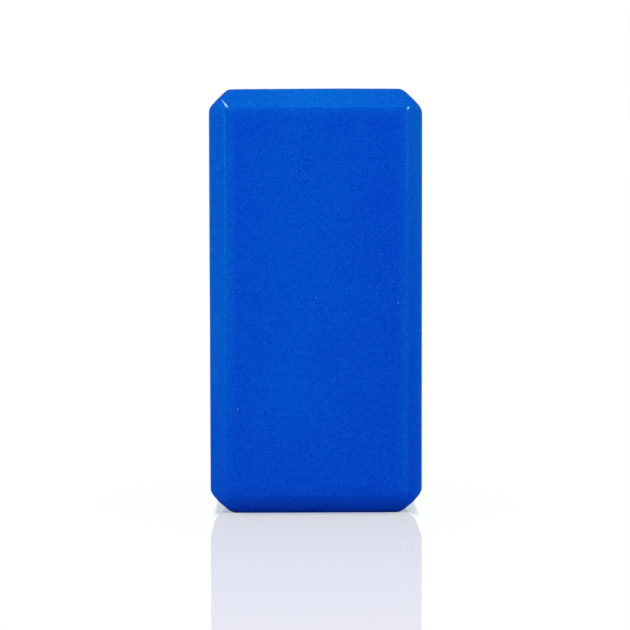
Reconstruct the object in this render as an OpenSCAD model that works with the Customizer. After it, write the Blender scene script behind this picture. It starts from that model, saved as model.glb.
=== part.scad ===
// Foam yoga block: one solid piece of closed-cell foam with every edge bevelled.
// It stands on one short end. X runs across the broad face, Y from the front to the
// back and Z up. The origin is the middle of the end that it stands on.

/* [Overall size] */
// Width across the broad face
block_w = 110; // [90:1:130]
// Depth from one broad face to the other
block_d = 70; // [50:1:100]
// Height from one short end to the other
block_h = 220; // [180:1:240]

/* [Edges] */
// Leg of the 45 degree bevel on the four long edges
long_bevel = 9; // [7:0.5:11]
// Leg of the 45 degree bevels round the two short ends
end_bevel = 10; // [8:0.5:12]
// Radius of the soft creases where the flats meet
crease_r = 4; // [1:0.5:5]

/* [Hidden] */

// Sides of each ball: a multiple of 8 puts a corner of it under every flat and bevel.
ball_sides = 32;

// A ball that rolls inside the skin, along the creases, keeps its centre in a core that
// lies one crease radius under every flat. That far in, a bevel's leg is shorter.
leg_loss = (2 - sqrt(2)) * crease_r;
long_leg = long_bevel - leg_loss;
end_leg = end_bevel - leg_loss;

// The corner that the core would have if it had no bevels.
core_corner = [block_w / 2 - crease_r, block_d / 2 - crease_r, block_h / 2 - crease_r];

// The core's true corners there, as steps back from that one: one on each of the three
// faces, then the peak where the three bevels meet.
core_steps = [
    [0, long_leg, end_leg],
    [long_leg, 0, end_leg],
    [end_leg, end_leg, 0],
    [long_leg / 2, long_leg / 2, end_leg - long_leg / 2],
];

// A ball with corners at its poles and on its equator, so that it reaches its full
// radius along X, Y and Z and half-way between them.
module crease_ball() {
    step = 360 / ball_sides;
    rotate_extrude($fn = ball_sides)
        polygon([for (a = [-90 : step : 90]) crease_r * [cos(a), sin(a)]]);
}

// Eight corners of four balls each, with the skin drawn tight over them all: flats
// between the balls, round creases along their rows and a blunt peak at every corner.
module foam_block() {
    color("royalblue")
        translate([0, 0, block_h / 2])
            hull()
                for (x = [-1, 1], y = [-1, 1], z = [-1, 1], step = core_steps) {
                    centre = core_corner - step;
                    translate([x * centre.x, y * centre.y, z * centre.z])
                        crease_ball();
                }
}

foam_block();
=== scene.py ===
import math

import bmesh
import bpy
import numpy as np
from mathutils import Matrix, Vector, noise


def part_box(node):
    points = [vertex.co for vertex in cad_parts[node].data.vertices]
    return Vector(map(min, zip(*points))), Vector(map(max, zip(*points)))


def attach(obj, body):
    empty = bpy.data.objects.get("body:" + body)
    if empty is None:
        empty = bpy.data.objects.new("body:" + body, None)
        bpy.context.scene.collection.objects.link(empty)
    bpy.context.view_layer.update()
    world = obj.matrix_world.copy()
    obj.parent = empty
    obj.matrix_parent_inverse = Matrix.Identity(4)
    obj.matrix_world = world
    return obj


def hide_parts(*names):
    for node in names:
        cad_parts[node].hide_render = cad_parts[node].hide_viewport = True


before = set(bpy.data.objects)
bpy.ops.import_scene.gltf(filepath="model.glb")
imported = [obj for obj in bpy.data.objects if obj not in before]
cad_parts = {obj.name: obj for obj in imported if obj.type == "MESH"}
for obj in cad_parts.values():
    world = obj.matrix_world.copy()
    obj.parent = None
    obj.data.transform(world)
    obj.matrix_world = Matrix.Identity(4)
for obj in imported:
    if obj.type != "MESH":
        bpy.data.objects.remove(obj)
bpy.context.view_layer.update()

# A blue foam yoga block that stands on a white gloss floor. Its skin is one mesh, which stands
# for the CAD solid. The photographed side faces -Y, and the origin is the foot's centre.
MM = 0.001
LOW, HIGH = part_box("foam_block")
HALF = (np.array(HIGH) - np.array(LOW)) / 2
CENTRE = (np.array(HIGH) + np.array(LOW)) / 2

# ---------------------------------------------------------------- sizes of the block's skin

# The bevels' legs. The foot's are longer than the top's. Those of both ends are a little longer
# over the narrow sides, and longer still over the right side at the top.
LONG_BEVEL = 9 * MM
TOP_BEVEL = 10 * MM
FOOT_BEVEL = 10.9 * MM
SIDE_MORE = 0.2 * MM
RIGHT_TOP_MORE = 0.3 * MM

# The creases' radii, and how far up the foot's radius reaches
LEFT_CREASE_R = 1.6 * MM
RIGHT_CREASE_R = 3.5 * MM
FOOT_CREASE_R = 5 * MM
CORNER_R = 7 * MM
FOOT_REACH = 14 * MM

# How far in from all three sides the corners' radius begins, and over how far it grows
CORNER_REACH = 15 * MM
CORNER_FADE = 7 * MM

# The flats roll off a little towards their creases, and the bevels do so close beside them
ROLL_DROP = 0.24 * MM
ROLL_WIDTH = 5.5 * MM
ROLL_BACK = 2 * MM

# The skin is slightly uneven: how deep, how wide the swellings are, and how far up it grows
SWELL = 0.1 * MM
SWELL_SIZE = 28 * MM
SWELL_FADE = 60 * MM

# The top is slightly crowned. Its peak lies a little to the right, and the drop is the one at
# half the block's width from there.
CROWN_DROP = 0.28 * MM
CROWN_PEAK = 12 * MM

# Pits pressed into the front: across, up, radius, depth
PITS = (
    (-6.0 * MM, 179.4 * MM, 1.2 * MM, 0.35 * MM),
    (-9.3 * MM, 176.9 * MM, 1.1 * MM, 0.25 * MM),
)

# The mesh: fine lines over the creases, then less fine over the rolled margins, then wide ones,
# with fine ones again across the pits
CREASE_STEP = 0.4 * MM
CREASE_BAND = 12.4 * MM
FINE_STEP = 0.8 * MM
FINE_MARGIN = 16 * MM
WIDE_STEP = 2.4 * MM
PIT_STEP = 0.4 * MM

# Points of neighbouring grids that lie this near to each other are one
WELD = 0.001 * MM

# Rounds of projection that settle the place of a rolling ball's centre
ROLLING_ROUNDS = 60

# ---------------------------------------------------------------- edge wear and painted light

# Worn colour and a painted highlight beside a crease: the distance in from it in mm, below zero
# on its bevel, and the share of the worn and lit colour. The left crease has a thin painted
# highlight on its ridge, with a darker line of painted shade beside it.
LEFT_EDGE = ((0.0, 0.0), (0.5, 0.38), (1.2, 0.34), (2.6, 0.27), (5.5, 0.0))
LEFT_RIDGE = ((-0.9, 0.0), (-0.6, 1.0), (0.0, 1.0), (0.42, -0.25), (1.0, -0.12), (1.5, 0.0))
RIGHT_EDGE = ((-1.7, 0.0), (-1.0, 0.17), (-0.2, 0.25), (0.7, 0.25), (1.6, 0.2), (3.0, 0.1),
              (6.0, 0.0))
TOP_EDGE = ((-1.2, 0.0), (-0.6, 0.1), (0.3, 0.33), (1.3, 0.26), (2.5, 0.16), (5.0, 0.04),
            (6.5, 0.0))

# How much of the left crease's wear and painted highlight and of its ridge shows, by the height
# as a share: painted light that is stronger higher up
LEFT_FADE = ((0.1, 0.2), (0.2, 0.35), (0.36, 0.7), (0.48, 0.9), (0.6, 1.0))
LEFT_CRISP = ((0.12, 0.0), (0.36, 0.2), (0.55, 0.3), (0.75, 0.56), (0.93, 0.9), (0.95, 0.0))

# Worn colour and painted light on the whole upright bevels, by the height as a share: lighter
# higher up, as painted light from above. It begins this far in from their creases, in mm.
LEFT_BEVEL = ((0.03, 0.1), (0.1, 0.2), (0.25, 0.27), (0.4, 0.42))
RIGHT_BEVEL = ((0.05, 0.0), (0.25, 0.1), (0.5, 0.21), (0.72, 0.33), (0.9, 0.45))
BEVEL_MARGIN = 0.5

# More painted light on the right bevels' outer halves, by the distance in mm from the block's
# middle plane
RIGHT_OUTER = ((20.0, 0.0), (25.0, 0.2), (27.0, 0.18), (31.0, 0.0))

# Painted light on the top's bevels, by the distance from the middle as a share, and on the
# foot's, by the height in mm, which leaves the foot's bevel darker near the floor as painted shade
TOP_BEVEL_LIGHT = ((0.0, 0.72), (0.55, 0.54), (1.0, 0.42))
FOOT_BEVEL_LIGHT = ((3.5, 0.0), (6.5, 0.12), (10.8, 0.15), (11.8, 0.0))

# ---------------------------------------------------------------- colours, all linear

# The part of a noise's range that is spread out
NOISE_RANGE = (0.3, 0.7)

# The foam's blue has soft clouds. It's clearest along an upright line and duller with the
# distance from it, and duller at the foot up to a height as painted shade.
FOAM_DULL = (0.0004, 0.0555, 0.483, 1)
FOAM_CLEAR = (0.0004, 0.074, 0.503, 1)
CLOUD_SIZE = 34 * MM
CLOUD_DETAIL = 1.5
CLOUD_SHARE = 0.4
CLEAR_LINE = -12 * MM
CLEAR_REACH = 55 * MM
CLEAR_SHARE = 0.6
FOOT_SHADE_HEIGHT = 50 * MM

# Its worn and lit colour lower down and on the top, which is lighter on the top as painted light
# from above, and the heights between which it changes
SIDE_WORN_AND_LIT = (0.0005, 0.14, 0.54, 1)
TOP_WORN_AND_LIT = (0.0005, 0.14, 0.61, 1)
WORN_AND_LIT_LOW = 208 * MM
WORN_AND_LIT_HIGH = 211 * MM

# The grain: every cell of the foam has its colour multiplied by something between these two,
# and bulges slightly
CELL_SIZE = 0.3 * MM
CELL_LOW = (0.0, 0.5, 0.85, 1)
CELL_HIGH = (8.0, 1.5, 1.15, 1)
BUMP_STRENGTH = 0.3
BUMP_DEPTH = 0.05 * MM

# The foam is nearly matt, with a faint blue gloss
ROUGHNESS = (0.45, 0.6)
ROUGHNESS_SIZE = 1.5 * MM
SPECULAR_LEVEL = 0.008
SPECULAR_TINT = (0.0, 0.8, 1, 1)

# ---------------------------------------------------------------- small marks, in mm

# Light specks, and dark spots of painted shade in the pits: centre and radius. A mark fades out
# between two distances from its centre, as shares of its radius, and a dark ring of painted shade
# lies round each speck.
SPECK_BLUE = (0.05, 0.30, 0.86, 1)
SHADE_BLUE = (0.0002, 0.041, 0.41, 1)
SPECKS = (
    (11.6, -35, 157.9, 0.32),
    (-0.2, -35, 112.9, 0.38),
    (42.0, -35, 110.1, 0.5),
    (14.6, -35, 104.9, 0.3),
    (-40.3, -35, 55.8, 0.45),
    (4.7, -35, 81.4, 0.3),
    (-9.8, -34.7, 177.3, 0.33),
    (-53.6, -27.4, 137.3, 0.45),
)
PIT_SHADES = (
    (-6.0, -35, 179.6, 0.95),
    (-5.2, -35, 178.4, 0.7),
    (-8.7, -35, 176.8, 0.8),
    (-10.3, -35, 176.6, 0.6),
)
SPECK_FADE = (0.5, 1.0)
SHADE_RING_FADE = (1.0, 2.4)
SHADE_RING_SHARE = 0.5
PIT_SHADE_FADE = (0.3, 1.1)
PIT_SHADE_SHARE = 0.8

# A distance, in radii, at which no mark shows
FAR_AWAY = 10.0

# Long marks: one end, the other end, half width, strength. They fade out from a core, given as a
# share of their half width. The painted highlights and the nick are nearly white: the painted
# highlight streak at the top left in two parts, the painted highlight at the top right and the
# nick on the top edge.
HIGHLIGHT_AND_NICK_WHITE = (0.42, 0.72, 1.0, 1)
HIGHLIGHT_AND_NICK_CORE = 0.5
HIGHLIGHTS_AND_NICK = (
    ((-45.7, -33.5, 210.9), (-48.5, -29.7, 214.8), 0.48, 0.4),
    ((-45.0, -34.0, 210.0), (-46.8, -32.1, 212.5), 0.65, 0.85),
    ((46.7, -33.7, 208.9), (47.4, -32.7, 210.0), 0.5, 0.72),
    ((-23.5, -25.4, 219.4), (-21.8, -25.4, 219.4), 0.7, 0.14),
)
# These marks have the worn and lit colour: a painted highlight that leaves the left crease at
# its top in three parts, two blotches low on the left bevel, one at the pits and two on the
# front's flat
RUB_AND_HIGHLIGHT_CORE = 0.0
RUBS_AND_HIGHLIGHTS = (
    ((-46.5, -34.2, 203.5), (-47.0, -33.8, 208.4), 0.9, 1.0),
    ((-47.0, -33.8, 208.4), (-49.1, -31.3, 211.3), 1.1, 1.0),
    ((-50.8, -30.0, 211.0), (-48.0, -32.0, 211.8), 2.2, 0.4),
    ((-51.8, -29.2, 96.5), (-51.8, -29.2, 102.5), 4.2, 0.42),
    ((-51.8, -29.2, 71.0), (-51.8, -29.2, 75.5), 3.8, 0.45),
    ((-7.6, -34.8, 178.7), (-6.8, -34.8, 178.1), 0.8, 0.25),
    ((-9.0, -35, 15.0), (-5.0, -35, 15.0), 3.0, 0.15),
    ((22.2, -35, 198.0), (22.2, -35, 201.0), 2.5, 0.15),
)

# ---------------------------------------------------------------- studio

WHITE = (1, 1, 1, 1)

# The even light from all round, half the floor's width in metres and its gloss's index
ROOM_LEVEL = 0.66
FLOOR_HALF = 60.0
FLOOR_IOR = 1.15

# The floor shows white, with a share of one paint near the block and of another under its sides,
# and the paints take its shadow
SHADE_NEAR = 0.08
SHADE_REACH = 250 * MM
NEAR_PAINT = (0.74, 0.96, 1.0, 1)
SHADE_UNDER = 0.46
UNDER_PAINT = (0.5, 0.9, 1.0, 1)

# The shade under the sides has a soft edge a little in from them. Between two distances from the
# middle, its front goes from some way behind the foot's front out to the block's.
SHADE_INSET = 3 * MM
SHADE_EDGE = 1.5 * MM
SHADE_TURN = (HALF[0] - 6 * MM, HALF[0] - 4.5 * MM)
SHADE_BEHIND = 3.5 * MM

# Painted light: the block's blue, bounced onto the floor beside its foot, is painted into the
# floor's white: how far it reaches, how fast it fades and how far in from the narrow sides it
# begins to
BOUNCE_GLOW_BLUE = (0.67, 0.72, 1.0, 1)
BOUNCE_GLOW_REACH = 20 * MM
BOUNCE_GLOW_POWER = 3.5
BOUNCE_GLOW_INSET = 20 * MM

# The colour of the light that the floor scatters, and how far out from the block it is painted
# darker, as painted shade
BOUNCE_FAR = (0.57, 0.56, 0.79, 1)
BOUNCE_NEAR = (0.02, 0.02, 0.1, 1)
BOUNCE_REACH = 8 * MM

# Lamps: name, the way to it from the block's centre, distance in metres, size in metres, watts
LAMPS = (
    ("top", (0, -0.35, 0.94), 1.0, 0.6, 2.4),
    ("left_low", (-0.85, -0.5, -0.02), 0.9, 0.4, 3.0),
    ("right_front", (0.7, -0.7, 0.2), 1.0, 0.5, 1.1),
    ("right_high", (0.9, -0.35, 0.35), 1.0, 0.5, 1.4),
    ("front", (0, -1, 0.2), 1.0, 0.6, 1.0),
    ("back", (0, 1, 0.3), 1.0, 0.6, 2.5),
)

# The camera: its place, the place that it aims at, its sensor and lens in mm, its roll in degrees
CAMERA_PLACE = (-12.5 * MM, -1155 * MM, 175 * MM)
CAMERA_AIM = (-0.25 * MM, 0, 101.8 * MM)
CAMERA_SENSOR = 36
CAMERA_LENS = 125.35
CAMERA_ROLL = -0.112


# ---------------------------------------------------------------- block mesh

def smooth(x):
    """0 below 0, 1 above 1 and a smooth step between."""
    x = np.clip(x, 0, 1)
    return x * x * (3 - 2 * x)


def profile(points, x):
    """The height at x of a profile through a few (place, height) points."""
    return np.interp(x, *zip(*points))


def even_legs(a, b, points):
    """The leg, at each point, of the bevel between the flats across axes a and b.

    These are the legs that the grids take, the same over all four sides of an end.
    """
    if 2 not in (a, b):
        return np.full(points.shape[:-1], LONG_BEVEL)
    return np.where(points[..., 2] > 0, TOP_BEVEL, FOOT_BEVEL)


def bevel_legs(a, b, points):
    """The same bevel's real leg, which is a little longer over the narrow sides."""
    legs = even_legs(a, b, points)
    if (a, b) == (0, 2):
        right_top = (points[..., 0] > 0) & (points[..., 2] > 0)
        legs += SIDE_MORE + RIGHT_TOP_MORE * right_top
    return legs


def end_lines(inset):
    """Grid lines in from one end of an axis, as distances from that end."""
    crease = np.arange(inset, CREASE_BAND, CREASE_STEP)
    margin = np.arange(CREASE_BAND, FINE_MARGIN, FINE_STEP)
    return np.concatenate([crease, margin])


def pit_lines(axis):
    """Finer grid lines across each pit, along the front's two axes."""
    lines = []
    for across, up, radius, _ in PITS:
        middle = {0: across, 2: up - HALF[2]}.get(axis)
        if middle is not None:
            lines.extend(np.arange(middle - 2 * radius, middle + 2 * radius, PIT_STEP))
    return np.unique(np.round(np.array(lines) / PIT_STEP)) * PIT_STEP


def graded_lines(axis):
    """Grid lines over a flat and out to the middle of its bevels."""
    inset_low = inset_high = LONG_BEVEL / 2
    if axis == 2:
        inset_low, inset_high = FOOT_BEVEL - LONG_BEVEL / 2, TOP_BEVEL - LONG_BEVEL / 2
    low = end_lines(inset_low) - HALF[axis]
    high = HALF[axis] - end_lines(inset_high)[::-1]
    gap = high[0] - low[-1]
    wide = np.linspace(low[-1], high[0], math.ceil(gap / WIDE_STEP) + 1)[1:-1]
    pits = pit_lines(axis)
    if len(pits):
        wide = wide[abs(wide[:, None] - pits).min(axis=1) > WIDE_STEP / 3]
    return np.sort(np.concatenate([low, wide, pits, high]))


def patch(u, v, w, side):
    """One of the six sides with sharp creases: a grid over axes u and v, on one side of axis w."""
    along_u, along_v = np.meshgrid(graded_lines(u), graded_lines(v), indexing="ij")
    points = np.zeros(along_u.shape + (3,))
    points[..., u], points[..., v], points[..., w] = along_u, along_v, side * HALF[w]
    drop_u = even_legs(u, w, points) - (HALF[u] - abs(along_u))
    drop_v = even_legs(v, w, points) - (HALF[v] - abs(along_v))
    points[..., w] -= side * np.maximum(np.maximum(drop_u, drop_v), 0)
    index = np.arange(along_u.size).reshape(along_u.shape)
    quads = np.stack([index[:-1, :-1], index[1:, :-1], index[1:, 1:], index[:-1, 1:]], -1)
    if side < 0:
        quads = quads[..., ::-1]
    return points.reshape(-1, 3), quads.reshape(-1, 4)


def crease_radius(points):
    """The radius of the creases at each point."""
    right = smooth(points[:, 0] / HALF[0])
    radius = LEFT_CREASE_R + (RIGHT_CREASE_R - LEFT_CREASE_R) * right
    foot = 1 - smooth((points[:, 2] + HALF[2]) / FOOT_REACH)
    radius += (FOOT_CREASE_R - radius) * foot
    corner = smooth((CORNER_REACH - (HALF - abs(points)).max(axis=1)) / CORNER_FADE)
    radius += (CORNER_R - radius) * corner
    return radius


def roll_creases(points):
    """Moves each point to the skin that a ball rolls out inside the creases, and gives its normal.

    The ball's centre keeps to a core that lies one ball's radius under every flat and bevel.
    Its place nearest to a point is found by cyclic projection on the core's planes.
    """
    sign = np.where(points < 0, -1.0, 1.0)
    radius = crease_radius(points)
    planes = [(np.eye(3)[a], HALF[a] - radius) for a in range(3)]
    for a, b in ((0, 1), (1, 2), (0, 2)):
        normal = (np.eye(3)[a] + np.eye(3)[b]) * math.sqrt(0.5)
        reach = (HALF[a] + HALF[b] - bevel_legs(a, b, points)) * math.sqrt(0.5) - radius
        planes.append((normal, reach))
    points = abs(points)
    core = points.copy()
    memory = [np.zeros_like(points) for _ in planes]
    for _ in range(ROLLING_ROUNDS):
        for i, (normal, reach) in enumerate(planes):
            trial = core + memory[i]
            over = np.maximum(trial @ normal - reach, 0)
            core = trial - over[:, None] * normal
            memory[i] = trial - core
    out = points - core
    out /= np.linalg.norm(out, axis=1)[:, None]
    return (core + radius[:, None] * out) * sign, out * sign


def crease_distance(skin):
    """How far each point lies in from the nearest crease, below zero on a bevel.

    The second result is true where that crease is a long, upright one.
    """
    pairs = []
    for a, b in ((0, 1), (1, 2), (0, 2)):
        legs = bevel_legs(a, b, skin)
        inside_a = HALF[a] - legs - abs(skin[:, a])
        inside_b = HALF[b] - legs - abs(skin[:, b])
        pairs.append(np.maximum(inside_a, inside_b))
    pairs = np.array(pairs)
    return pairs.min(axis=0), pairs.argmin(axis=0) == 0


def roll_off(skin):
    """How far the skin drops beside its creases."""
    inside, _ = crease_distance(skin)
    return ROLL_DROP * (1 - smooth(inside / ROLL_WIDTH)) * smooth(1 + inside / ROLL_BACK)


def pressed(skin):
    """How deep the pits are pressed into the front."""
    depth = np.zeros(len(skin))
    front = skin[:, 1] < -HALF[1] / 2
    for across, up, radius, deep in PITS:
        away = np.hypot(skin[:, 0] - across, skin[:, 2] + HALF[2] - up) / radius
        depth += front * deep * np.exp(-away * away)
    return depth


def swell(skin):
    """The skin's slight unevenness, which fades out at the foot."""
    rise = np.array([noise.noise(Vector(point) / SWELL_SIZE) for point in skin])
    return SWELL * (0.5 + 0.5 * rise) * smooth((skin[:, 2] + HALF[2]) / SWELL_FADE)


def crown(skin, normals):
    """How far the top and its long bevels drop towards their ends."""
    away = (skin[:, 0] - CROWN_PEAK) / HALF[0]
    return CROWN_DROP * away * away * np.maximum(normals[:, 2] - abs(normals[:, 0]), 0)


def wear_and_painted_light(skin):
    """The share of worn colour and painted light, from 0 to 1, on the creases and the bevels."""
    inside, upright = crease_distance(skin)
    inside = inside / MM
    up = skin[:, 2] + HALF[2]
    height = up / (2 * HALF[2])
    across = skin[:, 0] / HALF[0]
    bevel = smooth(BEVEL_MARGIN - inside)
    left = bevel * profile(LEFT_BEVEL, height)
    left += profile(LEFT_EDGE, inside) * profile(LEFT_FADE, height)
    left += profile(LEFT_RIDGE, inside) * profile(LEFT_CRISP, height)
    right = bevel * profile(RIGHT_BEVEL, height) + profile(RIGHT_EDGE, inside)
    right += profile(RIGHT_OUTER, abs(skin[:, 1]) / MM)
    top = bevel * profile(TOP_BEVEL_LIGHT, abs(across)) + profile(TOP_EDGE, inside)
    foot = profile(FOOT_BEVEL_LIGHT, up / MM)
    sides = np.where(across < 0, left, right)
    ends = np.where(height > 0.5, top, foot)
    return np.clip(np.where(upright, sides, ends), 0, 1)


def block_skin():
    """The skin's points and quads, in the block's own frame about its centre."""
    points, quads, count = [], [], 0
    for u, v, w in ((0, 1, 2), (1, 2, 0), (2, 0, 1)):
        for side in (-1, 1):
            patch_points, patch_quads = patch(u, v, w, side)
            points.append(patch_points)
            quads.append(patch_quads + count)
            count += len(patch_points)
    skin, normals = roll_creases(np.concatenate(points))
    sink = roll_off(skin) + pressed(skin) + swell(skin) + crown(skin, normals)
    return skin - normals * sink[:, None], np.concatenate(quads)


def make_block():
    """The block's skin as one closed mesh, with its wear and painted light as an attribute."""
    skin, quads = block_skin()
    mesh = bpy.data.meshes.new("foam_skin")
    mesh.from_pydata((skin + CENTRE).tolist(), [], quads.tolist())
    wear = mesh.attributes.new("wear_and_painted_light", "FLOAT", "POINT")
    wear.data.foreach_set("value", wear_and_painted_light(skin))
    bm = bmesh.new()
    bm.from_mesh(mesh)
    bmesh.ops.remove_doubles(bm, verts=bm.verts, dist=WELD)
    bmesh.ops.recalc_face_normals(bm, faces=bm.faces)
    bm.to_mesh(mesh)
    bm.free()
    mesh.shade_smooth()
    block = bpy.data.objects.new("foam_skin", mesh)
    bpy.context.collection.objects.link(block)
    return block


# ---------------------------------------------------------------- materials

class Nodes:
    """Makes and links a material's or a world's nodes."""

    def __init__(self, owner):
        owner.use_nodes = True
        self.tree = owner.node_tree
        self.tree.nodes.clear()

    def put(self, value, socket):
        """Links another node's output to a socket, or sets a plain value on it."""
        if isinstance(value, bpy.types.NodeSocket):
            self.tree.links.new(value, socket)
        else:
            socket.default_value = value

    def add(self, kind, inputs=(), **settings):
        """A node with its settings and its inputs, which map sockets to values or outputs."""
        node = self.tree.nodes.new("ShaderNode" + kind)
        for name, value in settings.items():
            setattr(node, name, value)
        for name, value in dict(inputs).items():
            self.put(value, node.inputs[name])
        return node

    def first(self, kind, inputs=(), **settings):
        """The first output of such a node."""
        return self.add(kind, inputs, **settings).outputs[0]

    def attribute(self, name):
        """The value of a mesh attribute."""
        return self.add("Attribute", attribute_name=name).outputs["Fac"]

    def noise(self, place, size, detail=2.0):
        """Noise from about 0 to 1 with features of that size in metres."""
        inputs = {"Vector": place, "Scale": 1 / size, "Detail": detail}
        return self.add("TexNoise", inputs).outputs["Fac"]

    def spread(self, value, low, high, out_low, out_high):
        """Maps low to high onto out_low to out_high, and holds it there."""
        inputs = {"Value": value, "From Min": low, "From Max": high,
                  "To Min": out_low, "To Max": out_high}
        return self.add("MapRange", inputs).outputs["Result"]

    def math(self, operation, *values):
        """The result of one sum on numbers."""
        return self.first("Math", enumerate(values), operation=operation)

    def vector(self, operation, *values):
        """The outputs of one sum on vectors."""
        return self.add("VectorMath", enumerate(values), operation=operation).outputs

    def mix(self, share, first, second, blend="MIX"):
        """One colour with that share of a second one over it."""
        node = self.add("Mix", {"Factor": share}, data_type="RGBA", blend_type=blend)
        sockets = [socket for socket in node.inputs if socket.type == "RGBA"]
        for value, socket in zip((first, second), sockets):
            self.put(value, socket)
        return next(socket for socket in node.outputs if socket.type == "RGBA")

    def tint(self, colour, by):
        """A colour multiplied by another."""
        return self.mix(1.0, colour, by, "MULTIPLY")

    def blend(self, share, first, second):
        """One shader with that share of a second one."""
        return self.first("MixShader", {0: share, 1: first, 2: second})


def nearest_mark(nodes, place, marks):
    """The distance to the nearest of some round marks, as a share of its radius."""
    nearest = FAR_AWAY
    for *centre, radius in marks:
        centre = [across * MM for across in centre]
        away = nodes.vector("DISTANCE", place, centre)["Value"]
        nearest = nodes.math("MINIMUM", nearest, nodes.math("DIVIDE", away, radius * MM))
    return nearest


def long_mark(nodes, place, start, end, half_width, strength, core):
    """That strength inside a long thin ellipsoid, falling to 0 from its core to its skin."""
    start, end, thin = Vector(start) * MM, Vector(end) * MM, half_width * MM
    inputs = {
        "Vector": place,
        "Location": (start + end) / 2,
        "Rotation": (end - start).to_track_quat("X", "Z").to_euler(),
        "Scale": ((end - start).length / 2 + thin, thin, thin),
    }
    inside = nodes.first("Mapping", inputs, vector_type="TEXTURE")
    return nodes.spread(nodes.vector("LENGTH", inside)["Value"], core, 1.0, strength, 0)


def foam_blue(nodes, place, axes):
    """The foam's blue: clouded, clearest along an upright line, with painted shade at the foot."""
    cloud = nodes.noise(place, CLOUD_SIZE, CLOUD_DETAIL)
    cloud = nodes.spread(cloud, *NOISE_RANGE, 0, CLOUD_SHARE)
    beside = nodes.math("ABSOLUTE", nodes.math("SUBTRACT", axes["X"], CLEAR_LINE))
    clear = nodes.math("ADD", cloud, nodes.spread(beside, 0, CLEAR_REACH, CLEAR_SHARE, 0))
    # Painted shade: duller towards the foot
    clear = nodes.math("MULTIPLY", clear, nodes.spread(axes["Z"], 0, FOOT_SHADE_HEIGHT, 0, 1))
    return nodes.mix(clear, FOAM_DULL, FOAM_CLEAR)


def with_wear_and_painted_light(nodes, place, axes, colour):
    """A colour with wear and painted light on its edges and the soft marks over it."""
    # The top's colour is lighter, as painted light from above
    high = nodes.spread(axes["Z"], WORN_AND_LIT_LOW, WORN_AND_LIT_HIGH, 0, 1)
    worn_and_lit = nodes.mix(high, SIDE_WORN_AND_LIT, TOP_WORN_AND_LIT)
    # Worn colour and painted light along the creases and over the bevels
    colour = nodes.mix(nodes.attribute("wear_and_painted_light"), colour, worn_and_lit)
    # Soft marks of worn colour, and a painted highlight at the top of the left crease
    for mark in RUBS_AND_HIGHLIGHTS:
        colour = nodes.mix(long_mark(nodes, place, *mark, RUB_AND_HIGHLIGHT_CORE), colour, worn_and_lit)
    return colour


def with_marks(nodes, place, colour):
    """A colour with painted pit shade, ringed specks, painted highlights and a nick over it."""
    # Painted shade in the pits
    pit_shade = nearest_mark(nodes, place, PIT_SHADES)
    colour = nodes.mix(nodes.spread(pit_shade, *PIT_SHADE_FADE, PIT_SHADE_SHARE, 0), colour, SHADE_BLUE)
    speck = nearest_mark(nodes, place, SPECKS)
    # A ring of painted shade round each speck
    colour = nodes.mix(nodes.spread(speck, *SHADE_RING_FADE, SHADE_RING_SHARE, 0), colour, SHADE_BLUE)
    colour = nodes.mix(nodes.spread(speck, *SPECK_FADE, 1, 0), colour, SPECK_BLUE)
    # Painted highlights at the two top corners, and the nick on the top edge
    for mark in HIGHLIGHTS_AND_NICK:
        colour = nodes.mix(long_mark(nodes, place, *mark, HIGHLIGHT_AND_NICK_CORE), colour, HIGHLIGHT_AND_NICK_WHITE)
    return colour


def foam_material():
    """Blue closed-cell foam with its grain, wear, marks, and painted light and shade."""
    material = bpy.data.materials.new("blue_foam")
    nodes = Nodes(material)
    place = nodes.add("TexCoord").outputs["Object"]
    axes = nodes.add("SeparateXYZ", {"Vector": place}).outputs
    cells = nodes.add("TexVoronoi", {"Vector": place, "Scale": 1 / CELL_SIZE}).outputs
    cell = nodes.add("SeparateColor", {"Color": cells["Color"]}).outputs["Red"]
    colour = with_wear_and_painted_light(nodes, place, axes, foam_blue(nodes, place, axes))
    colour = nodes.mix(cell, nodes.tint(colour, CELL_LOW), nodes.tint(colour, CELL_HIGH))
    roughness = nodes.spread(nodes.noise(place, ROUGHNESS_SIZE), *NOISE_RANGE, *ROUGHNESS)
    bump = {"Height": cells["Distance"], "Strength": BUMP_STRENGTH, "Distance": BUMP_DEPTH}
    shader = nodes.first("BsdfPrincipled", {
        "Base Color": with_marks(nodes, place, colour),
        "Roughness": roughness,
        "Specular IOR Level": SPECULAR_LEVEL,
        "Specular Tint": SPECULAR_TINT,
        "Normal": nodes.first("Bump", bump),
    })
    nodes.add("OutputMaterial", {"Surface": shader})
    return material


def seen_as_white(nodes):
    """1 for rays from the camera or from gloss and glass, 0 for light that a surface scatters."""
    path = nodes.add("LightPath").outputs
    sharp = nodes.math("MAXIMUM", path["Is Camera Ray"], path["Is Glossy Ray"])
    return nodes.math("MAXIMUM", sharp, path["Is Transmission Ray"])


def beyond(nodes, place, box):
    """How far a place lies outside a box about the origin, given by its half sizes."""
    out = nodes.vector("SUBTRACT", place, box)["Vector"]
    out = nodes.vector("MAXIMUM", out, (0, 0, 0))["Vector"]
    return nodes.vector("LENGTH", out)["Value"]


def shade_under(nodes, place, foot):
    """The share of shade on the floor under the block's narrow sides."""
    axes = nodes.add("SeparateXYZ", {"Vector": place}).outputs
    front = nodes.spread(axes["X"], *SHADE_TURN, foot[1] - SHADE_BEHIND, HALF[1])
    box = nodes.first("CombineXYZ", {"X": foot[0], "Y": front, "Z": 0.0})
    share = nodes.spread(beyond(nodes, place, box), 0, SHADE_EDGE, SHADE_UNDER, 0)
    fade = nodes.spread(axes["Y"], foot[1], HALF[1] + SHADE_EDGE, 1, 0)
    return nodes.math("MULTIPLY", share, fade)


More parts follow.
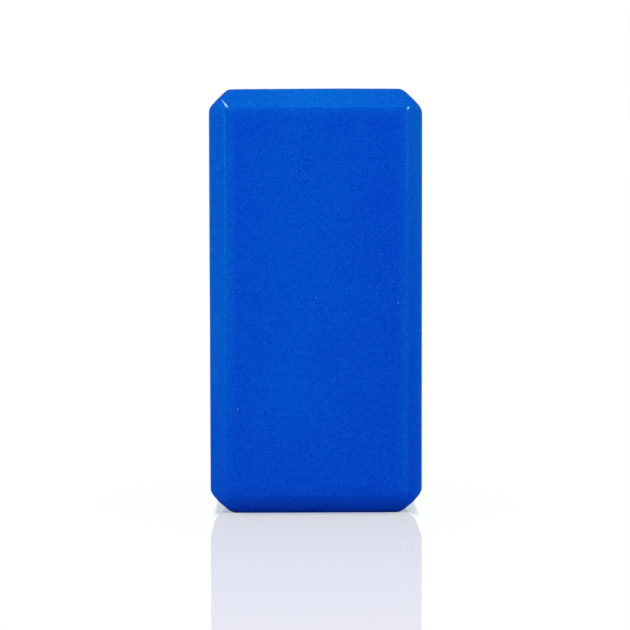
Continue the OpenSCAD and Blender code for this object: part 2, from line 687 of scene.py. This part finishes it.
def floor_body(nodes, place, foot, away):
    """White, with painted blue bounce light at the foot and a share of paint taking the shadow."""
    contact = beyond(nodes, place, (HALF[0] - BOUNCE_GLOW_INSET, foot[1], 0))
    # Painted bounce light: the floor's white turns blue beside the foot
    bounce_glow = nodes.math("POWER", nodes.spread(contact, 0, BOUNCE_GLOW_REACH, 1, 0), BOUNCE_GLOW_POWER)
    glow = nodes.mix(bounce_glow, WHITE, BOUNCE_GLOW_BLUE)
    white = nodes.first("Emission", {"Color": glow, "Strength": 1.0})
    paint = nodes.first("BsdfDiffuse", {"Color": NEAR_PAINT})
    near = nodes.spread(away, 0, SHADE_REACH, SHADE_NEAR, 0)
    near = nodes.math("MULTIPLY", near, nodes.spread(contact, 0, BOUNCE_GLOW_REACH, 0, 1))
    return nodes.blend(near, white, paint)


def floor_material():
    """A white gloss floor. What it shows and what light it scatters are set apart."""
    material = bpy.data.materials.new("white_gloss_floor")
    nodes = Nodes(material)
    place = nodes.add("NewGeometry").outputs["Position"]
    place = nodes.vector("ABSOLUTE", place)["Vector"]
    foot = (HALF[0] - SHADE_INSET, HALF[1] - FOOT_BEVEL, 0)
    away = beyond(nodes, place, foot)
    gloss = nodes.first("BsdfGlossy", {"Color": WHITE, "Roughness": 0.0})
    mirror = nodes.first("Fresnel", {"IOR": FLOOR_IOR})
    seen = nodes.blend(mirror, floor_body(nodes, place, foot, away), gloss)
    shade = nodes.first("BsdfDiffuse", {"Color": UNDER_PAINT})
    seen = nodes.blend(shade_under(nodes, place, foot), seen, shade)
    # Painted shade: the light that the floor scatters is darker near the block
    bounce = nodes.mix(nodes.spread(away, 0, BOUNCE_REACH, 0, 1), BOUNCE_NEAR, BOUNCE_FAR)
    scattered = nodes.first("BsdfDiffuse", {"Color": bounce})
    nodes.add("OutputMaterial", {"Surface": nodes.blend(seen_as_white(nodes), scattered, seen)})
    return material


# ---------------------------------------------------------------- floor, world, lamps and camera

def make_floor():
    """A floor so wide that its edges aren't seen."""
    mesh = bpy.data.meshes.new("studio_floor")
    corners = [(x * FLOOR_HALF, y * FLOOR_HALF, 0) for x, y in ((-1, -1), (1, -1), (1, 1), (-1, 1))]
    mesh.from_pydata(corners, [], [(0, 1, 2, 3)])
    floor = bpy.data.objects.new("studio_floor", mesh)
    bpy.context.collection.objects.link(floor)
    mesh.materials.append(floor_material())


def make_world():
    """Even light from all round, and white where the world itself is seen."""
    world = bpy.data.worlds.new("studio")
    bpy.context.scene.world = world
    nodes = Nodes(world)
    room = nodes.first("Background", {"Color": WHITE, "Strength": ROOM_LEVEL})
    white = nodes.first("Background", {"Color": WHITE, "Strength": 1.0})
    nodes.add("OutputWorld", {"Surface": nodes.blend(seen_as_white(nodes), room, white)})


def make_lamp(name, direction, distance, size, watts):
    """A square lamp that faces the block's centre and isn't seen itself."""
    data = bpy.data.lights.new(name, "AREA")
    data.size = size
    data.energy = watts
    lamp = bpy.data.objects.new(name, data)
    bpy.context.collection.objects.link(lamp)
    way = Vector(direction).normalized()
    lamp.location = Vector(CENTRE) + way * distance
    lamp.rotation_euler = way.to_track_quat("Z", "Y").to_euler()
    lamp.visible_camera = False
    lamp.visible_glossy = False


def make_camera():
    """The photo's camera."""
    data = bpy.data.cameras.new("camera")
    data.sensor_width = CAMERA_SENSOR
    data.lens = CAMERA_LENS
    camera = bpy.data.objects.new("camera", data)
    bpy.context.collection.objects.link(camera)
    place = Vector(CAMERA_PLACE)
    turn = (place - Vector(CAMERA_AIM)).to_track_quat("Z", "Y").to_matrix()
    roll = Matrix.Rotation(math.radians(CAMERA_ROLL), 3, "Z")
    camera.matrix_world = Matrix.Translation(place) @ (turn @ roll).to_4x4()
    bpy.context.scene.camera = camera


make_camera()
make_world()
for lamp_settings in LAMPS:
    make_lamp(*lamp_settings)
make_floor()
block = make_block()
block.data.materials.append(foam_material())
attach(block, "root")
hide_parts("foam_block")
bpy.context.scene.view_settings.view_transform = "Standard"
